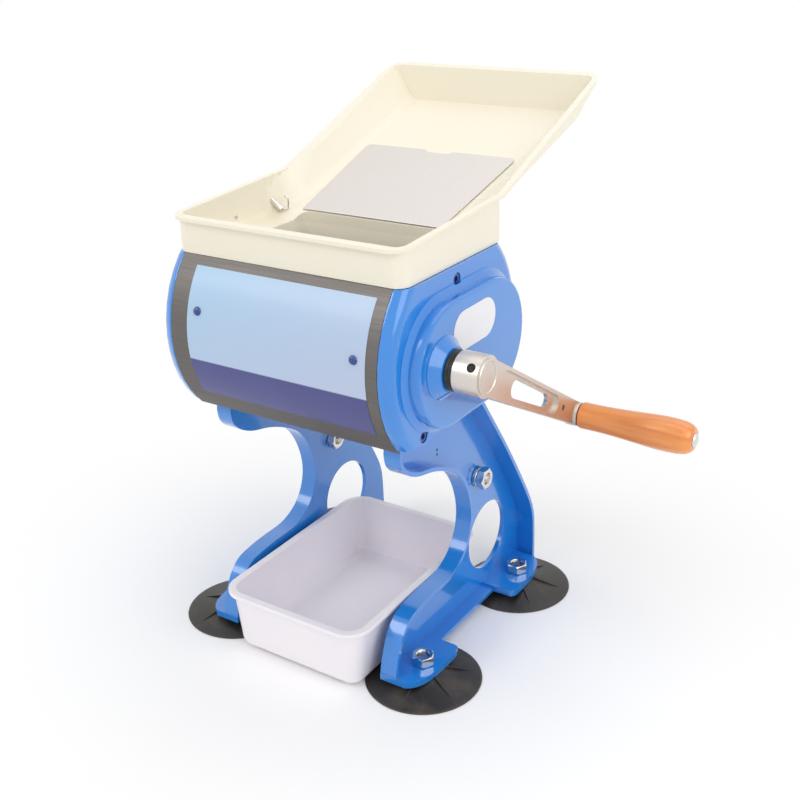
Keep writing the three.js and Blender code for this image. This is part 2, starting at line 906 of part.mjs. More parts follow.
// Side view of everything under a line that runs a given drop below the rim.
function underRim(drop) {
  const shape = new THREE.Shape();
  const front = hopperFrontY - rimLip - 10;
  const rear = chuteEndY + rimLip + 10;
  shape.moveTo(front, 200);
  shape.lineTo(rear, 200);
  shape.lineTo(rear, rimHeight(rear) - drop);
  shape.lineTo(creaseY, creaseZ - drop);
  shape.lineTo(front, rimHeight(front) - drop);
  shape.closePath();
  return across(shape, -200, 200);
}

// Moulded hopper: a tray over the feed throat and a flared chute rising behind it.
function hopper() {
  const seat = drumTop + gap;
  const inner = hopperFrontY + hopperWall;
  const block = upward(
    roundedPlan(-hopperHalf, hopperHalf, hopperFrontY, skirtEndY, cornerRadius),
    seat,
    seat + 60,
  );
  const plan = roundedPlan(
    -hopperHalf - rimLip / 2,
    hopperHalf + rimLip / 2,
    hopperFrontY - rimLip,
    chuteEndY + rimLip / 2,
    cornerRadius + rimLip,
  );
  const inside = upward(
    roundedPlan(
      -hopperHalf + hopperWall,
      hopperHalf - hopperWall,
      inner,
      chuteEndY - hopperWall,
      cornerRadius - hopperWall,
    ),
    seat,
    seat + 150,
  );
  const lip = upward(plan, 200, 500).intersect(underRim(0)).subtract(underRim(rimThickness));
  const shell = join(block, trough(throatRearY, chuteEndY, hopperWall))
    .intersect(underRim(0))
    .intersect(upward(plan, 200, 500));
  const hollow = trough(inner, chuteEndY - hopperWall, 0).intersect(inside);
  const throat = roundedPlan(-throatHalf, throatHalf, throatFrontY, throatRearY - gap, throatCorner);
  const under = underTray(seat);
  return cut(join(shell, lip), hollow, under, upward(throat, seat - 5, trayFloor + 20));
}

// The space under the tray's rear skirt, open below and behind the drum's top.
function underTray(seat) {
  const shape = new THREE.Shape();
  const floorStart = throatRearY + hopperWall;
  shape.moveTo(floorStart, seat - 1);
  shape.lineTo(skirtEndY - hopperWall, seat - 1);
  shape.lineTo(skirtEndY - hopperWall, chuteFloor(skirtEndY - hopperWall) - hopperWall);
  shape.lineTo(floorStart, chuteFloor(floorStart) - hopperWall);
  shape.closePath();
  return across(shape, -chuteHalfLow, chuteHalfLow);
}

// Steel cover plate that lies on the chute floor, with a thumb notch in its upper edge.
function coverPlate() {
  const angle = Math.atan(chuteSlope);
  const plan = new THREE.Shape();
  plan.moveTo(-plateHalfLow, 0);
  plan.lineTo(plateHalfLow, 0);
  plan.lineTo(plateHalfHigh, plateLength - 5);
  plan.quadraticCurveTo(plateHalfHigh, plateLength, plateHalfHigh - 5, plateLength);
  plan.lineTo(plateNotch, plateLength);
  plan.quadraticCurveTo(plateNotch - 2, plateLength - 3.5, plateNotch - 6, plateLength - 3.5);
  plan.lineTo(-plateNotch + 6, plateLength - 3.5);
  plan.quadraticCurveTo(-plateNotch + 2, plateLength - 3.5, -plateNotch, plateLength);
  plan.lineTo(-plateHalfHigh + 5, plateLength);
  plan.quadraticCurveTo(-plateHalfHigh, plateLength, -plateHalfHigh, plateLength - 5);
  plan.closePath();
  const geometry = new THREE.ExtrudeGeometry(plan, { depth: sheet, bevelEnabled: false, curveSegments: 4 });
  geometry.translate(0, 0, gap);
  geometry.rotateX(angle);
  return solid(geometry.translate(0, throatRearY + gap, chuteFloor(throatRearY + gap)));
}

// Catch tub: drafted walls, a rounded bottom edge, a lip and a base that stands between the cups.
function catchTub() {
  const level = (z, inset) => {
    const corner = Math.max(tubCorner - inset, 3);
    const low = -tubHalfX + inset;
    const plan = roundedPlan(low, -low, tubFrontY + inset, tubRearY - inset, corner);
    return plan.getPoints(5).map((p) => new THREE.Vector3(p.x, p.y, z));
  };
  const wallFoot = tubLip + tubDraft;
  const baseInset = tubHalfX - tubBaseHalf;
  const rounded = (inset, bottom, radius) => {
    const rise = Math.SQRT1_2 * radius;
    return [
      level(bottom, inset + radius),
      level(bottom + radius - rise, inset + radius - rise),
      level(bottom + radius, inset),
    ];
  };
  const outside = rounded(wallFoot, tubBaseHeight, tubRound);
  const inside = rounded(wallFoot + tubWall, tubBaseHeight + tubWall, tubInnerRound).reverse();
  return skinned([
    level(gap, baseInset),
    level(tubBaseHeight - 0.4, baseInset),
    ...outside,
    level(tubHeight - tubLipHeight, tubLip),
    level(tubHeight - tubLipHeight, 0),
    level(tubHeight, 0),
    level(tubHeight, tubLip + tubWall),
    ...inside,
  ]);
}

function suctionCup(x, y) {
  const socket = studRadius + gap;
  const profile = [
    [0, cupRise],
    [cupRadius - cupContact, cupRise],
    [cupRadius - cupContact + 2, 0],
    [cupRadius, 0],
    [cupRadius, cupLip],
    [cupRadius * 0.62, cupHeight * 0.55],
    [cupRadius * 0.3, cupHeight],
    [socket, cupHeight],
    [socket, cupHeight - 3],
    [0, cupHeight - 3],
  ];
  const points = profile.map(([r, z]) => new THREE.Vector2(r, z));
  const geometry = new THREE.LatheGeometry(points, 24);
  geometry.rotateX(Math.PI / 2);
  return solid(geometry.translate(x, y, 0));
}

function footStud(x, y) {
  return upright(studRadius, cupHeight - 3 + gap, studHeight, x, y, 16);
}

function footNut(x, y) {
  const outer = upright(nutAcross / Math.sqrt(3), padTop + gap, padTop + gap + nutHeight, x, y, 6);
  return cut(outer, upright(studRadius + gap, padTop, padTop + nutHeight + 2, x, y, 16));
}

function boltNut(x0) {
  const x1 = x0 + boltNutHeight;
  const nut = hexAcross(boltNutAcross, x0, x1, boltY, boltZ);
  return cut(nut, rod(boltRadius + gap, x0 - 1, x1 + 1, boltY, boltZ, 16));
}

function washer() {
  const x0 = webOuter + gap;
  return ringAcross(boltRadius + gap, washerRadius, x0, x0 + washerThickness, boltY, boltZ, 24);
}

function frameStud() {
  return rod(boltRadius, webInner - boltInnerTail, webOuter + boltTail, boltY, boltZ, 16);
}

function sidePieces(hand, group) {
  group.add(
    piece(`${hand}_side_frame`, sideFrame(), blue),
    piece(`front_bush_${hand}`, bush(frontShaftY), bronze),
    piece(`rear_bush_${hand}`, bush(rearShaftY), bronze),
    piece(`cover_screw_upper_${hand}`, coverScrew(upperScrew, coverFace), navy),
    piece(`cover_screw_lower_${hand}`, coverScrew(lowerScrew, coverFace), navy),
    piece(`frame_stud_${hand}`, frameStud(), steel),
    piece(`frame_washer_${hand}`, washer(), chrome),
    piece(`frame_nut_outer_${hand}`, boltNut(webOuter + washerThickness + 2 * gap), chrome),
    piece(`frame_nut_inner_${hand}`, boltNut(webInner - gap - boltNutHeight), chrome),
    piece(`suction_cup_front_${hand}`, suctionCup(footX, -footY), rubber),
    piece(`suction_cup_rear_${hand}`, suctionCup(footX, footY), rubber),
    piece(`foot_stud_front_${hand}`, footStud(footX, -footY), steel),
    piece(`foot_stud_rear_${hand}`, footStud(footX, footY), steel),
    piece(`foot_nut_front_${hand}`, footNut(footX, -footY), chrome),
    piece(`foot_nut_rear_${hand}`, footNut(footX, footY), chrome),
  );
  return group;
}

const machine = new THREE.Group();
const rightSide = sidePieces("right", new THREE.Group());
const leftSide = sidePieces("left", new THREE.Group());
leftSide.scale.x = -1;
rightSide.add(piece("gear_cover", gearCover(), blue));
leftSide.add(piece("left_cover", plainCover(), blue));

const topAngle = drumAngle(drumTop);
const panelAngle = drumAngle(drumBottom - panelDrop);
const frontPanel = cut(
  drumSheet(Math.PI - topAngle, Math.PI - panelAngle),
  ...frontRivets.map((spot) => rivetHole(spot, -1)),
);
const rearPanel = cut(
  drumSheet(drumAngle(drumBottom), topAngle),
  ...rearRivets.map((spot) => rivetHole(spot, 1)),
);
const rivetPieces = ["left", "right"].flatMap((hand, i) => [
  piece(`front_rivet_${hand}`, rivet(frontRivets[i], -1), navy),
  piece(`rear_rivet_${hand}`, rivet(rearRivets[i], 1), navy),
]);

const housingPieces = [
  piece("front_panel", frontPanel, steel),
  piece("rear_panel", rearPanel, steel),
  piece("hopper", hopper(), cream),
  piece("cover_plate", coverPlate(), steel),
  piece("front_comb", comb(frontShaftY, bladeCount - 1, -1), steel),
  piece("rear_comb", comb(rearShaftY, bladeCount, 1), steel),
  piece("catch_tub", catchTub(), white),
];

const shaftStart = -webOuter - shaftTail;
const rearShaftEnd = webOuter + gearSetback + gearWidth + rearShaftPast;
const seal = ringAcross(
  shaftRadius + runningGap,
  sealRadius,
  bossFace + gap,
  hubStart - gap,
  frontShaftY,
  shaftZ,
);
const rollerPieces = [
  piece("drive_shaft", rod(shaftRadius, shaftStart, hubEnd - 3 - gap, frontShaftY, shaftZ), steel),
  piece("front_blades", bladeSet(frontShaftY, bladeCount), chrome),
  piece("drive_gear", gear(frontShaftY, 0), steel),
  piece("crank_arm", crankArm(), chrome),
  piece("grip_pin", gripPin(), chrome),
  piece("grip", grip(), wood),
  piece("shaft_seal", seal, rubber),
  piece("rear_shaft", rod(shaftRadius, shaftStart, rearShaftEnd, rearShaftY, shaftZ), steel),
  piece("rear_blades", bladeSet(rearShaftY, bladeCount - 1), chrome),
  piece("driven_gear", gear(rearShaftY, Math.PI / gearTeeth), steel),
];
machine.add(rightSide, leftSide, ...housingPieces, ...rivetPieces, ...rollerPieces);

// The origin is under the middle of the machine's box, on the surface it stands on.
machine.updateMatrixWorld(true);
const extent = new THREE.Box3().setFromObject(machine);
const middle = extent.getCenter(new THREE.Vector3());
machine.position.set(-middle.x, -middle.y, -extent.min.z);

export default machine;
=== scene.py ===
import json
import math

import bmesh
import bpy
from mathutils import Matrix, Vector


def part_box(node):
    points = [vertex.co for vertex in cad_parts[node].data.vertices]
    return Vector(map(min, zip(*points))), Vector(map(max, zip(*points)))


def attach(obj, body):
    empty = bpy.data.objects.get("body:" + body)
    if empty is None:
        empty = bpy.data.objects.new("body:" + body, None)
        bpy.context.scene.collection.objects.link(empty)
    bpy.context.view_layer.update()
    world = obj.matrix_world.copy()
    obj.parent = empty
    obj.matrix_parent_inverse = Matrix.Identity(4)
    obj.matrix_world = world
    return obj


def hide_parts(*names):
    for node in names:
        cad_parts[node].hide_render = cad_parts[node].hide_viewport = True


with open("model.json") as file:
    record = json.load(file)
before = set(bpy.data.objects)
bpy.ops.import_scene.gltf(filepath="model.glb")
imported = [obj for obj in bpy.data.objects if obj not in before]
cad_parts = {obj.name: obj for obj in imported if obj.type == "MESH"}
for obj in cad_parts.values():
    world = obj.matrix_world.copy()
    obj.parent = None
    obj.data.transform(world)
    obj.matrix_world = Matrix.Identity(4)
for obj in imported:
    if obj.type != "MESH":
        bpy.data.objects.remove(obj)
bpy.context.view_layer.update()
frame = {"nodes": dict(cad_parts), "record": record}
nodes = frame["nodes"]
sides = ("right", "left")
ends = ("front", "rear")


def middleOf(node):
    low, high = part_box(node)
    return (low + high) / 2


def sizeOf(node):
    low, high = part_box(node)
    return high - low


# the machine's own middle: between the side frames, between the feet, on the table
machineMiddle = Vector(
    (
        (middleOf("right_side_frame").x + middleOf("left_side_frame").x) / 2,
        (middleOf("foot_nut_front_right").y + middleOf("foot_nut_rear_right").y) / 2,
        0,
    )
)

print("camera")

cameraSetup = {
    "place": (0.45716, -0.63738, 0.51855),  # from the machine's middle
    "azimuth": 34.13,
    "elevation": 23.815,
    "roll": -1.905,
    "lens": 51.46,
    "sensor": 36,
}


def makeCamera(setup):
    azimuth, elevation, roll = (math.radians(setup[k]) for k in ("azimuth", "elevation", "roll"))
    back = Vector(
        (
            math.sin(azimuth) * math.cos(elevation),
            -math.cos(azimuth) * math.cos(elevation),
            math.sin(elevation),
        )
    )
    level = Vector((math.cos(azimuth), math.sin(azimuth), 0))
    upright = back.cross(level)
    right = math.cos(roll) * level + math.sin(roll) * upright
    up = math.cos(roll) * upright - math.sin(roll) * level
    data = bpy.data.cameras.new("camera")
    data.lens = setup["lens"]
    data.sensor_width = setup["sensor"]
    camera = bpy.data.objects.new("camera", data)
    bpy.context.scene.collection.objects.link(camera)
    turn = Matrix((right, up, back)).transposed().to_4x4()
    camera.matrix_world = Matrix.Translation(machineMiddle + Vector(setup["place"])) @ turn
    bpy.context.scene.camera = camera


makeCamera(cameraSetup)

print("finishes")


class Wire:
    # a value in a shader: arithmetic on it adds Math nodes
    def __init__(self, finish, socket):
        self.finish = finish
        self.socket = socket

    def maths(self, operation, *others):
        return self.finish.add("ShaderNodeMath", {"operation": operation}, (self, *others))

    def flipped(self, operation, other):
        return self.finish.add("ShaderNodeMath", {"operation": operation}, (other, self))

    def __add__(self, other):
        return self.maths("ADD", other)

    def __radd__(self, other):
        return self.flipped("ADD", other)

    def __sub__(self, other):
        return self.maths("SUBTRACT", other)

    def __rsub__(self, other):
        return self.flipped("SUBTRACT", other)

    def __mul__(self, other):
        return self.maths("MULTIPLY", other)

    def __rmul__(self, other):
        return self.flipped("MULTIPLY", other)

    def __truediv__(self, other):
        return self.maths("DIVIDE", other)

    def clamped(self):
        return self.maths("MAXIMUM", 0).maths("MINIMUM", 1)


class Finish:
    # a material with its Principled shader, and one way to add any other node
    def __init__(self, name, color=None, **constants):
        self.material = bpy.data.materials.new(name)
        self.material.use_nodes = True
        self.tree = self.material.node_tree
        self.shader = self.tree.nodes["Principled BSDF"]
        if color:
            self.shader.inputs["Base Color"].default_value = (*color, 1)
        for label, value in constants.items():
            self.shader.inputs[label.replace("_", " ")].default_value = value

    def add(self, kind, settings=None, values=None, output=0):
        node = self.tree.nodes.new(kind)
        stops = None
        for key, value in (settings or {}).items():
            if key == "stops":
                stops = value
            else:
                setattr(node, key, value)
        if stops:
            ramp = node.color_ramp
            while len(ramp.elements) < len(stops):
                ramp.elements.new(0.5)
            for element, (place, color) in zip(ramp.elements, stops):
                element.position = place
                element.color = (*color, 1) if len(color) == 3 else color
        pairs = values.items() if isinstance(values, dict) else enumerate(values or ())
        for key, value in pairs:
            self.join(node.inputs[key], value)
        return Wire(self, node.outputs[output])

    def join(self, target, value):
        if isinstance(value, Wire):
            self.tree.links.new(value.socket, target)
        elif value is not None:
            target.default_value = value

    def feed(self, label, wire):
        self.join(self.shader.inputs[label], wire)

    def place(self, scale=(1, 1, 1), turn=(0, 0, 0), shift=(0, 0, 0)):
        coordinates = self.add("ShaderNodeTexCoord", output=3)
        return self.add(
            "ShaderNodeMapping",
            {},
            {0: coordinates, "Location": shift, "Rotation": turn, "Scale": scale},
        )

    def noise(self, place, scale, detail=2.0, roughness=0.5):
        return self.add(
            "ShaderNodeTexNoise",
            {},
            {"Vector": place, "Scale": scale, "Detail": detail, "Roughness": roughness},
        )

    def mix(self, factor, first, second):
        return self.add(
            "ShaderNodeMix",
            {"data_type": "RGBA"},
            {0: factor, 6: rgba(first), 7: rgba(second)},
            output=2,
        )

    def ramp(self, factor, stops):
        return self.add("ShaderNodeValToRGB", {"stops": stops}, {0: factor})

    def bump(self, height, distance, strength=1.0):
        normal = self.add(
            "ShaderNodeBump",
            {},
            {"Height": height, "Distance": distance, "Strength": strength},
        )
        self.feed("Normal", normal)


def rgba(color):
    return color if isinstance(color, Wire) else (*color, 1)


def linear(red, green, blue):
    # an eye's 0 to 255 colour as the renderer's own
    def one(value):
        share = value / 255
        return share / 12.92 if share <= 0.04045 else ((share + 0.055) / 1.055) ** 2.4

    return one(red), one(green), one(blue)


bluePaintLook = {
    "color": linear(34, 138, 226),
    "deep": linear(24, 122, 212),
    "roughness": 0.2,
    "orangePeel": 0.00003,
    "peelScale": 420,
}


def bluePaint(look):
    finish = Finish("bluePaint", Coat_Weight=1.0, Coat_Roughness=0.07, IOR=1.55)
    place = finish.place()
    cloud = finish.noise(place, 9, 3)
    finish.feed("Base Color", finish.mix(cloud, look["color"], look["deep"]))
    peel = finish.noise(place, look["peelScale"], 1)
    smear = finish.noise(place, 35, 4, 0.6)
    finish.feed("Roughness", smear * 0.1 + (look["roughness"] - 0.05))
    finish.bump(peel, look["orangePeel"])
    return finish.material


creamLook = {
    "color": linear(244, 239, 224),
    "shade": linear(241, 233, 212),
    "roughness": 0.4,
    "grain": 0.00002,
}


def creamPlastic(look):
    finish = Finish("creamPlastic", Subsurface_Weight=0.05, IOR=1.46)
    finish.shader.inputs["Subsurface Radius"].default_value = (0.01, 0.007, 0.004)
    place = finish.place()
    cloud = finish.noise(place, 6, 3)
    finish.feed("Base Color", finish.mix(cloud, look["color"], look["shade"]))
    speck = finish.noise(place, 900, 2)
    finish.feed("Roughness", finish.noise(place, 24, 4) * 0.12 + (look["roughness"] - 0.06))
    finish.bump(speck, look["grain"])
    return finish.material


steelLook = {
    "color": linear(204, 199, 195),
    "dark": linear(164, 158, 154),
    "roughness": 0.3,
    "grain": 0.00002,
}


def brushedSteel(name, look, scale):
    finish = Finish(name, Metallic=1.0)
    place = finish.place(scale)
    grain = finish.noise(place, 1, 4, 0.65)
    cloud = finish.noise(finish.place(), 14, 3)
    finish.feed("Base Color", finish.mix(grain, look["color"], look["dark"]))
    finish.feed("Roughness", grain * 0.2 + cloud * 0.1 + (look["roughness"] - 0.14))
    finish.bump(grain, look["grain"])
    return finish.material


chromeLook = {"color": linear(226, 223, 219), "roughness": 0.11, "pits": 0.08, "wave": 0.00005}
zincLook = {"color": linear(222, 214, 206), "roughness": 0.34, "pits": 0.16, "wave": 0.00012}


def platedMetal(name, look):
    finish = Finish(name, Metallic=1.0, color=look["color"])
    place = finish.place()
    pits = finish.noise(place, 160, 4, 0.6)
    finish.feed("Roughness", pits * look["pits"] + (look["roughness"] - look["pits"] / 2))
    finish.bump(finish.noise(place, 60, 2), look["wave"])
    return finish.material


rubberLook = {"color": linear(40, 36, 33), "dust": linear(104, 94, 84), "roughness": 0.5}


def dustyRubber(look):
    finish = Finish("dustyRubber", IOR=1.5)
    place = finish.place()
    dust = finish.ramp(finish.noise(place, 38, 5, 0.65), [(0.45, (0, 0, 0)), (0.75, (1, 1, 1))])
    finish.feed("Base Color", finish.mix(dust * 0.5, look["color"], look["dust"]))
    finish.feed("Roughness", dust * 0.2 + (look["roughness"] - 0.1))
    finish.bump(finish.noise(place, 500, 3), 0.00004)
    return finish.material


tubLook = {"color": linear(250, 245, 249), "shade": linear(242, 236, 242), "roughness": 0.36}


def tubPlastic(look):
    finish = Finish("tubPlastic", Subsurface_Weight=0.45, IOR=1.5)
    finish.shader.inputs["Subsurface Radius"].default_value = (0.016, 0.015, 0.018)
    place = finish.place()
    finish.feed("Base Color", finish.mix(finish.noise(place, 8, 3), look["color"], look["shade"]))
    finish.feed("Roughness", finish.noise(place, 60, 3) * 0.14 + (look["roughness"] - 0.07))
    finish.bump(finish.noise(place, 700, 2), 0.00002)
    return finish.material


woodLook = {
    "light": linear(250, 160, 84),
    "dark": linear(218, 122, 54),
    "pore": linear(160, 82, 36),
    "roughness": 0.3,
    "rings": 60,
}


def varnishedWood(look, along):
    finish = Finish("varnishedWood", Coat_Weight=0.5, Coat_Roughness=0.12)
    warp = finish.noise(finish.place((0.1, 1, 1), shift=along), 45, 2)
    grain = finish.noise(finish.place((5, 150, 150)), 4, 5, 0.65)
    rings = (warp * look["rings"]).maths("SINE") * 0.25 + 0.4
    board = finish.mix((rings + (grain - 0.5) * 0.7).clamped(), look["light"], look["dark"])
    specks = finish.noise(finish.place((14, 420, 420)), 3, 3)
    pores = finish.ramp(specks, [(0.6, (0, 0, 0)), (0.78, (1, 1, 1))])
    finish.feed("Base Color", finish.mix(pores * 0.35, board, look["pore"]))
    finish.feed("Roughness", grain * 0.15 + (look["roughness"] - 0.07))
    finish.bump(grain, 0.00004)
    return finish.material


bronzeLook = {"color": linear(186, 144, 82), "roughness": 0.35}


def machinedBronze(look):
    finish = Finish("machinedBronze", Metallic=1.0, color=look["color"])
    finish.feed("Roughness", finish.noise(finish.place(), 90, 4) * 0.2 + (look["roughness"] - 0.1))
    return finish.material


darkSteelLook = {"color": linear(34, 28, 28), "worn": linear(78, 68, 64), "roughness": 0.5}


def darkOxide(look):
    finish = Finish("darkOxide", Metallic=0.5)
    place = finish.place()
    wear = finish.ramp(finish.noise(place, 260, 4, 0.6), [(0.5, (0, 0, 0)), (0.72, (1, 1, 1))])
    finish.feed("Base Color", finish.mix(wear * 0.6, look["color"], look["worn"]))
    finish.feed("Roughness", finish.noise(place, 120, 3) * 0.2 + (look["roughness"] - 0.1))
    return finish.material


# navy paint for the rivets and the cover screws; on the cover screws this dark navy also stands in
# for painted shade inside the recesses they sit in
navyLook = {"color": linear(30, 62, 132), "roughness": 0.28}


def navyPaintAndRecessShade(look):
    finish = Finish("navyPaintAndRecessShade", color=look["color"], Coat_Weight=0.4, Coat_Roughness=0.1)
    place = finish.place()
    finish.feed("Roughness", finish.noise(place, 300, 3) * 0.16 + (look["roughness"] - 0.08))
    finish.bump(finish.noise(place, 420, 1), 0.00003)
    return finish.material


blueEnamel = bluePaint(bluePaintLook)
cream = creamPlastic(creamLook)
panelLook = {
    "color": linear(128, 124, 121),
    "dark": linear(104, 100, 97),
    "roughness": 0.5,
    "grain": 0.00001,
}
plateLook = {
    "color": linear(221, 216, 213),
    "dark": linear(213, 208, 204),
    "roughness": 0.5,
    "grain": 0.000003,
}
panelSteel = brushedSteel("panelSteel", panelLook, (18, 1400, 1400))
plateSteel = brushedSteel("plateSteel", plateLook, (1400, 16, 16))
steelPlain = brushedSteel("plainSteel", steelLook, (90, 90, 90))
bladeSteel = brushedSteel("bladeSteel", steelLook, (500, 60, 60))
chrome = platedMetal("nutChrome", chromeLook)
zinc = platedMetal("castZinc", zincLook)
rubber = dustyRubber(rubberLook)
tubWhite = tubPlastic(tubLook)
wood = varnishedWood(woodLook, tuple(-middleOf("grip")))
bronze = machinedBronze(bronzeLook)
darkSteel = darkOxide(darkSteelLook)
navy = navyPaintAndRecessShade(navyLook)

slotFinish = {
    "blue_paint": blueEnamel,
    "cream_plastic": cream,
    "steel": steelPlain,
    "chrome": chrome,
    "bronze": bronze,
    "rubber": rubber,
    "white_plastic": tubWhite,
    "wood": wood,
    "navy_paint": navy,
}
slotOf = {row["node"]: row["material_slot"] for row in frame["record"]["subparts"]}
for name, node in nodes.items():
    node.data.materials.clear()
    node.data.materials.append(slotFinish[slotOf[name]])

print("room")

roomSetup = {
    "floor": linear(254, 254, 254),
    "near": 0.17,  # the floor turns to plain white between these distances from the machine
    "far": 0.42,
    "world": 0.68,
    "key": {"place": (-1.0, -1.3, 1.5), "size": 0.9, "power": 8.6},
    "fill": {"place": (1.7, -0.5, 1.3), "size": 1.5, "power": 11.5},
    "top": {"place": (0.1, 0.5, 1.9), "size": 1.6, "power": 6.6},
}


def areaLight(name, setup):
    data = bpy.data.lights.new(name, "AREA")
    data.shape = "SQUARE"
    data.size = setup["size"]
    data.energy = setup["power"]
    light = bpy.data.objects.new(name, data)
    bpy.context.scene.collection.objects.link(light)
    target = machineMiddle + Vector((0, 0, 0.2))
    light.location = machineMiddle + Vector(setup["place"])
    light.rotation_euler = (light.location - target).to_track_quat("Z", "Y").to_euler()


def floorFinish(setup):
    # a pale floor that takes the shadow, and fades to white farther out for camera and mirrors
    finish = Finish("paleFloor", color=setup["floor"], Roughness=0.8)
    apart = finish.add("ShaderNodeSeparateXYZ", {}, [finish.place()])
    x, y = (Wire(finish, apart.socket.node.outputs[axis]) for axis in (0, 1))
    x, y = x - machineMiddle.x, y - machineMiddle.y
    out = (x * x + y * y).maths("SQRT")
    fade = ((out - setup["near"]) / (setup["far"] - setup["near"])).clamped()
    seen = finish.add("ShaderNodeLightPath", output="Is Camera Ray")
    rays = seen.socket.node.outputs
    for ray in ("Is Glossy Ray", "Is Transmission Ray"):
        seen = seen.maths("MAXIMUM", Wire(finish, rays[ray]))
    white = finish.add("ShaderNodeEmission", {}, {"Color": (1, 1, 1, 1), "Strength": 1.0})
    share = fade * fade * (3 - 2 * fade) * seen
    blend = finish.add("ShaderNodeMixShader", {}, {0: share, 2: white})
    finish.tree.links.new(finish.shader.outputs[0], blend.socket.node.inputs[1])
    finish.tree.links.new(blend.socket, finish.tree.nodes["Material Output"].inputs[0])
    return finish


def makeRoom(setup):
    for name in ("key", "fill", "top"):
        areaLight(name, setup[name])
    world = bpy.data.worlds.new("world")
    world.use_nodes = True
    bpy.context.scene.world = world
    tree = world.node_tree
    background = tree.nodes["Background"]
    path = tree.nodes.new("ShaderNodeLightPath")
    blend = tree.nodes.new("ShaderNodeMix")
    blend.inputs[2].default_value = setup["world"]
    blend.inputs[3].default_value = 1.0
    seen = path.outputs["Is Camera Ray"]
    for ray in ("Is Glossy Ray", "Is Transmission Ray"):
        either = tree.nodes.new("ShaderNodeMath")
        either.operation = "MAXIMUM"
        tree.links.new(seen, either.inputs[0])
        tree.links.new(path.outputs[ray], either.inputs[1])
        seen = either.outputs[0]
    tree.links.new(seen, blend.inputs[0])
    tree.links.new(blend.outputs[0], background.inputs["Strength"])
    background.inputs["Color"].default_value = (1, 1, 1, 1)
    bm = bmesh.new()
    bmesh.ops.create_grid(bm, x_segments=1, y_segments=1, size=6)
    mesh = bpy.data.meshes.new("floor")
    bm.to_mesh(mesh)
    bm.free()
    floor = bpy.data.objects.new("floor", mesh)
    bpy.context.scene.collection.objects.link(floor)
    mesh.materials.append(floorFinish(setup).material)


makeRoom(roomSetup)
bpy.context.scene.view_settings.view_transform = "Standard"

print("rounded castings")


def showPiece(bm, name, body, material, replaced=(), smoothUnder=40):
    mesh = bpy.data.meshes.new(name)
    bm.to_mesh(mesh)
    bm.free()
    mesh.materials.clear()
    mesh.materials.append(material)
    mesh.shade_smooth()
    mesh.set_sharp_from_angle(angle=math.radians(smoothUnder))
    piece = bpy.data.objects.new(name, mesh)
    bpy.context.scene.collection.objects.link(piece)
    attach(piece, body)
    if replaced:
        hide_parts(*replaced)
    return piece


def copyOf(node):
    bm = bmesh.new()
    bm.from_mesh(nodes[node].data)
    bmesh.ops.remove_doubles(bm, verts=bm.verts, dist=2e-6)
    bmesh.ops.dissolve_limit(
        bm,
        angle_limit=math.radians(1),
        use_dissolve_boundaries=False,
        verts=bm.verts,
        edges=bm.edges,
    )
    return bm


def flowing(points, between=5):
    # a smooth line through a few points
    line = []
    padded = [points[0], *points, points[-1]]
    for a, b, c, d in zip(padded, padded[1:], padded[2:], padded[3:]):
        for step in range(between):
            t = step / between
            line.append(
                tuple(
                    0.5
                    * (
                        2 * q
                        + (r - p) * t
                        + (2 * p - 5 * q + 4 * r - w) * t**2
                        + (3 * q - p - 3 * r + w) * t**3
                    )
                    for p, q, r, w in zip(a, b, c, d)
                )
            )
    return [*line, points[-1]]


curveLook = {"cuts": 4, "turnUnder": 34, "longer": 0.003}


def railsOf(face):
    # the two edges of a four-sided facet that run along X
    along = [e for e in face.edges if (e.verts[0].co - e.verts[1].co).yz.length < 1e-6]
    return along if len(along) == 2 and len(face.verts) == 4 else None


def spotOf(rail):
    return rail.verts[0].co.yz


def beyond(face, rail, look):
    # the next rail's spot along the strip, or None where the strip ends or turns a corner
    others = [other for other in rail.link_faces if other is not face]
    if len(others) != 1 or rail.calc_face_angle(9) > math.radians(look["turnUnder"]):
        return None
    rails = railsOf(others[0])
    if not rails:
        return None
    return spotOf(rails[0] if rails[1] is rail else rails[1])


def flowFacets(bm, look):
    # facets that follow a curve in side view are cut finer and set on that curve
    bm.normal_update()
    plans = []
    for face in bm.faces:
        rails = railsOf(face)
        if not rails or (spotOf(rails[0]) - spotOf(rails[1])).length < look["longer"]:
            continue
        start, end = map(spotOf, rails)
        before, after = beyond(face, rails[0], look), beyond(face, rails[1], look)
        if before is None and after is None:
            continue
        line = flowing([before or start, start, end, after or end], look["cuts"])
        plans.append((face, rails, line[look["cuts"] + 1 : 2 * look["cuts"]]))
    for face, rails, spots in plans:
        sideEdges = [edge for edge in face.edges if edge not in rails]
        startCorners = set(rails[0].verts)
        new = [splitAlong(edge, startCorners, spots) for edge in sideEdges]
        for first, second in zip(*new):
            bmesh.ops.connect_vert_pair(bm, verts=[first, second])


def splitAlong(edge, startCorners, spots):
    corner = next(vert for vert in edge.verts if vert in startCorners)
    far = edge.other_vert(corner)
    made = []
    for spot in spots:
        edge = next(e for e in corner.link_edges if e.other_vert(corner) is far)
        edge, corner = bmesh.utils.edge_split(edge, corner, 0.5)
        corner.co.yz = spot
        made.append(corner)
    return made


def roundOff(piece, width, segments=2, over=32):
    rounding = piece.modifiers.new("rounding", "BEVEL")
    rounding.limit_method = "ANGLE"
    rounding.angle_limit = math.radians(over)
    rounding.width = width
    rounding.segments = segments
    rounding.use_clamp_overlap = True
    rounding.miter_outer = "MITER_ARC"
    evening = piece.modifiers.new("evening", "WEIGHTED_NORMAL")
    evening.keep_sharp = True


# from the machine's middle: the line out along X, what it gathers in, and the stretch in Y
hopperBrim = {"line": 0.09, "within": 0.085, "above": 0.3312, "stretch": (-0.002, 0.032)}


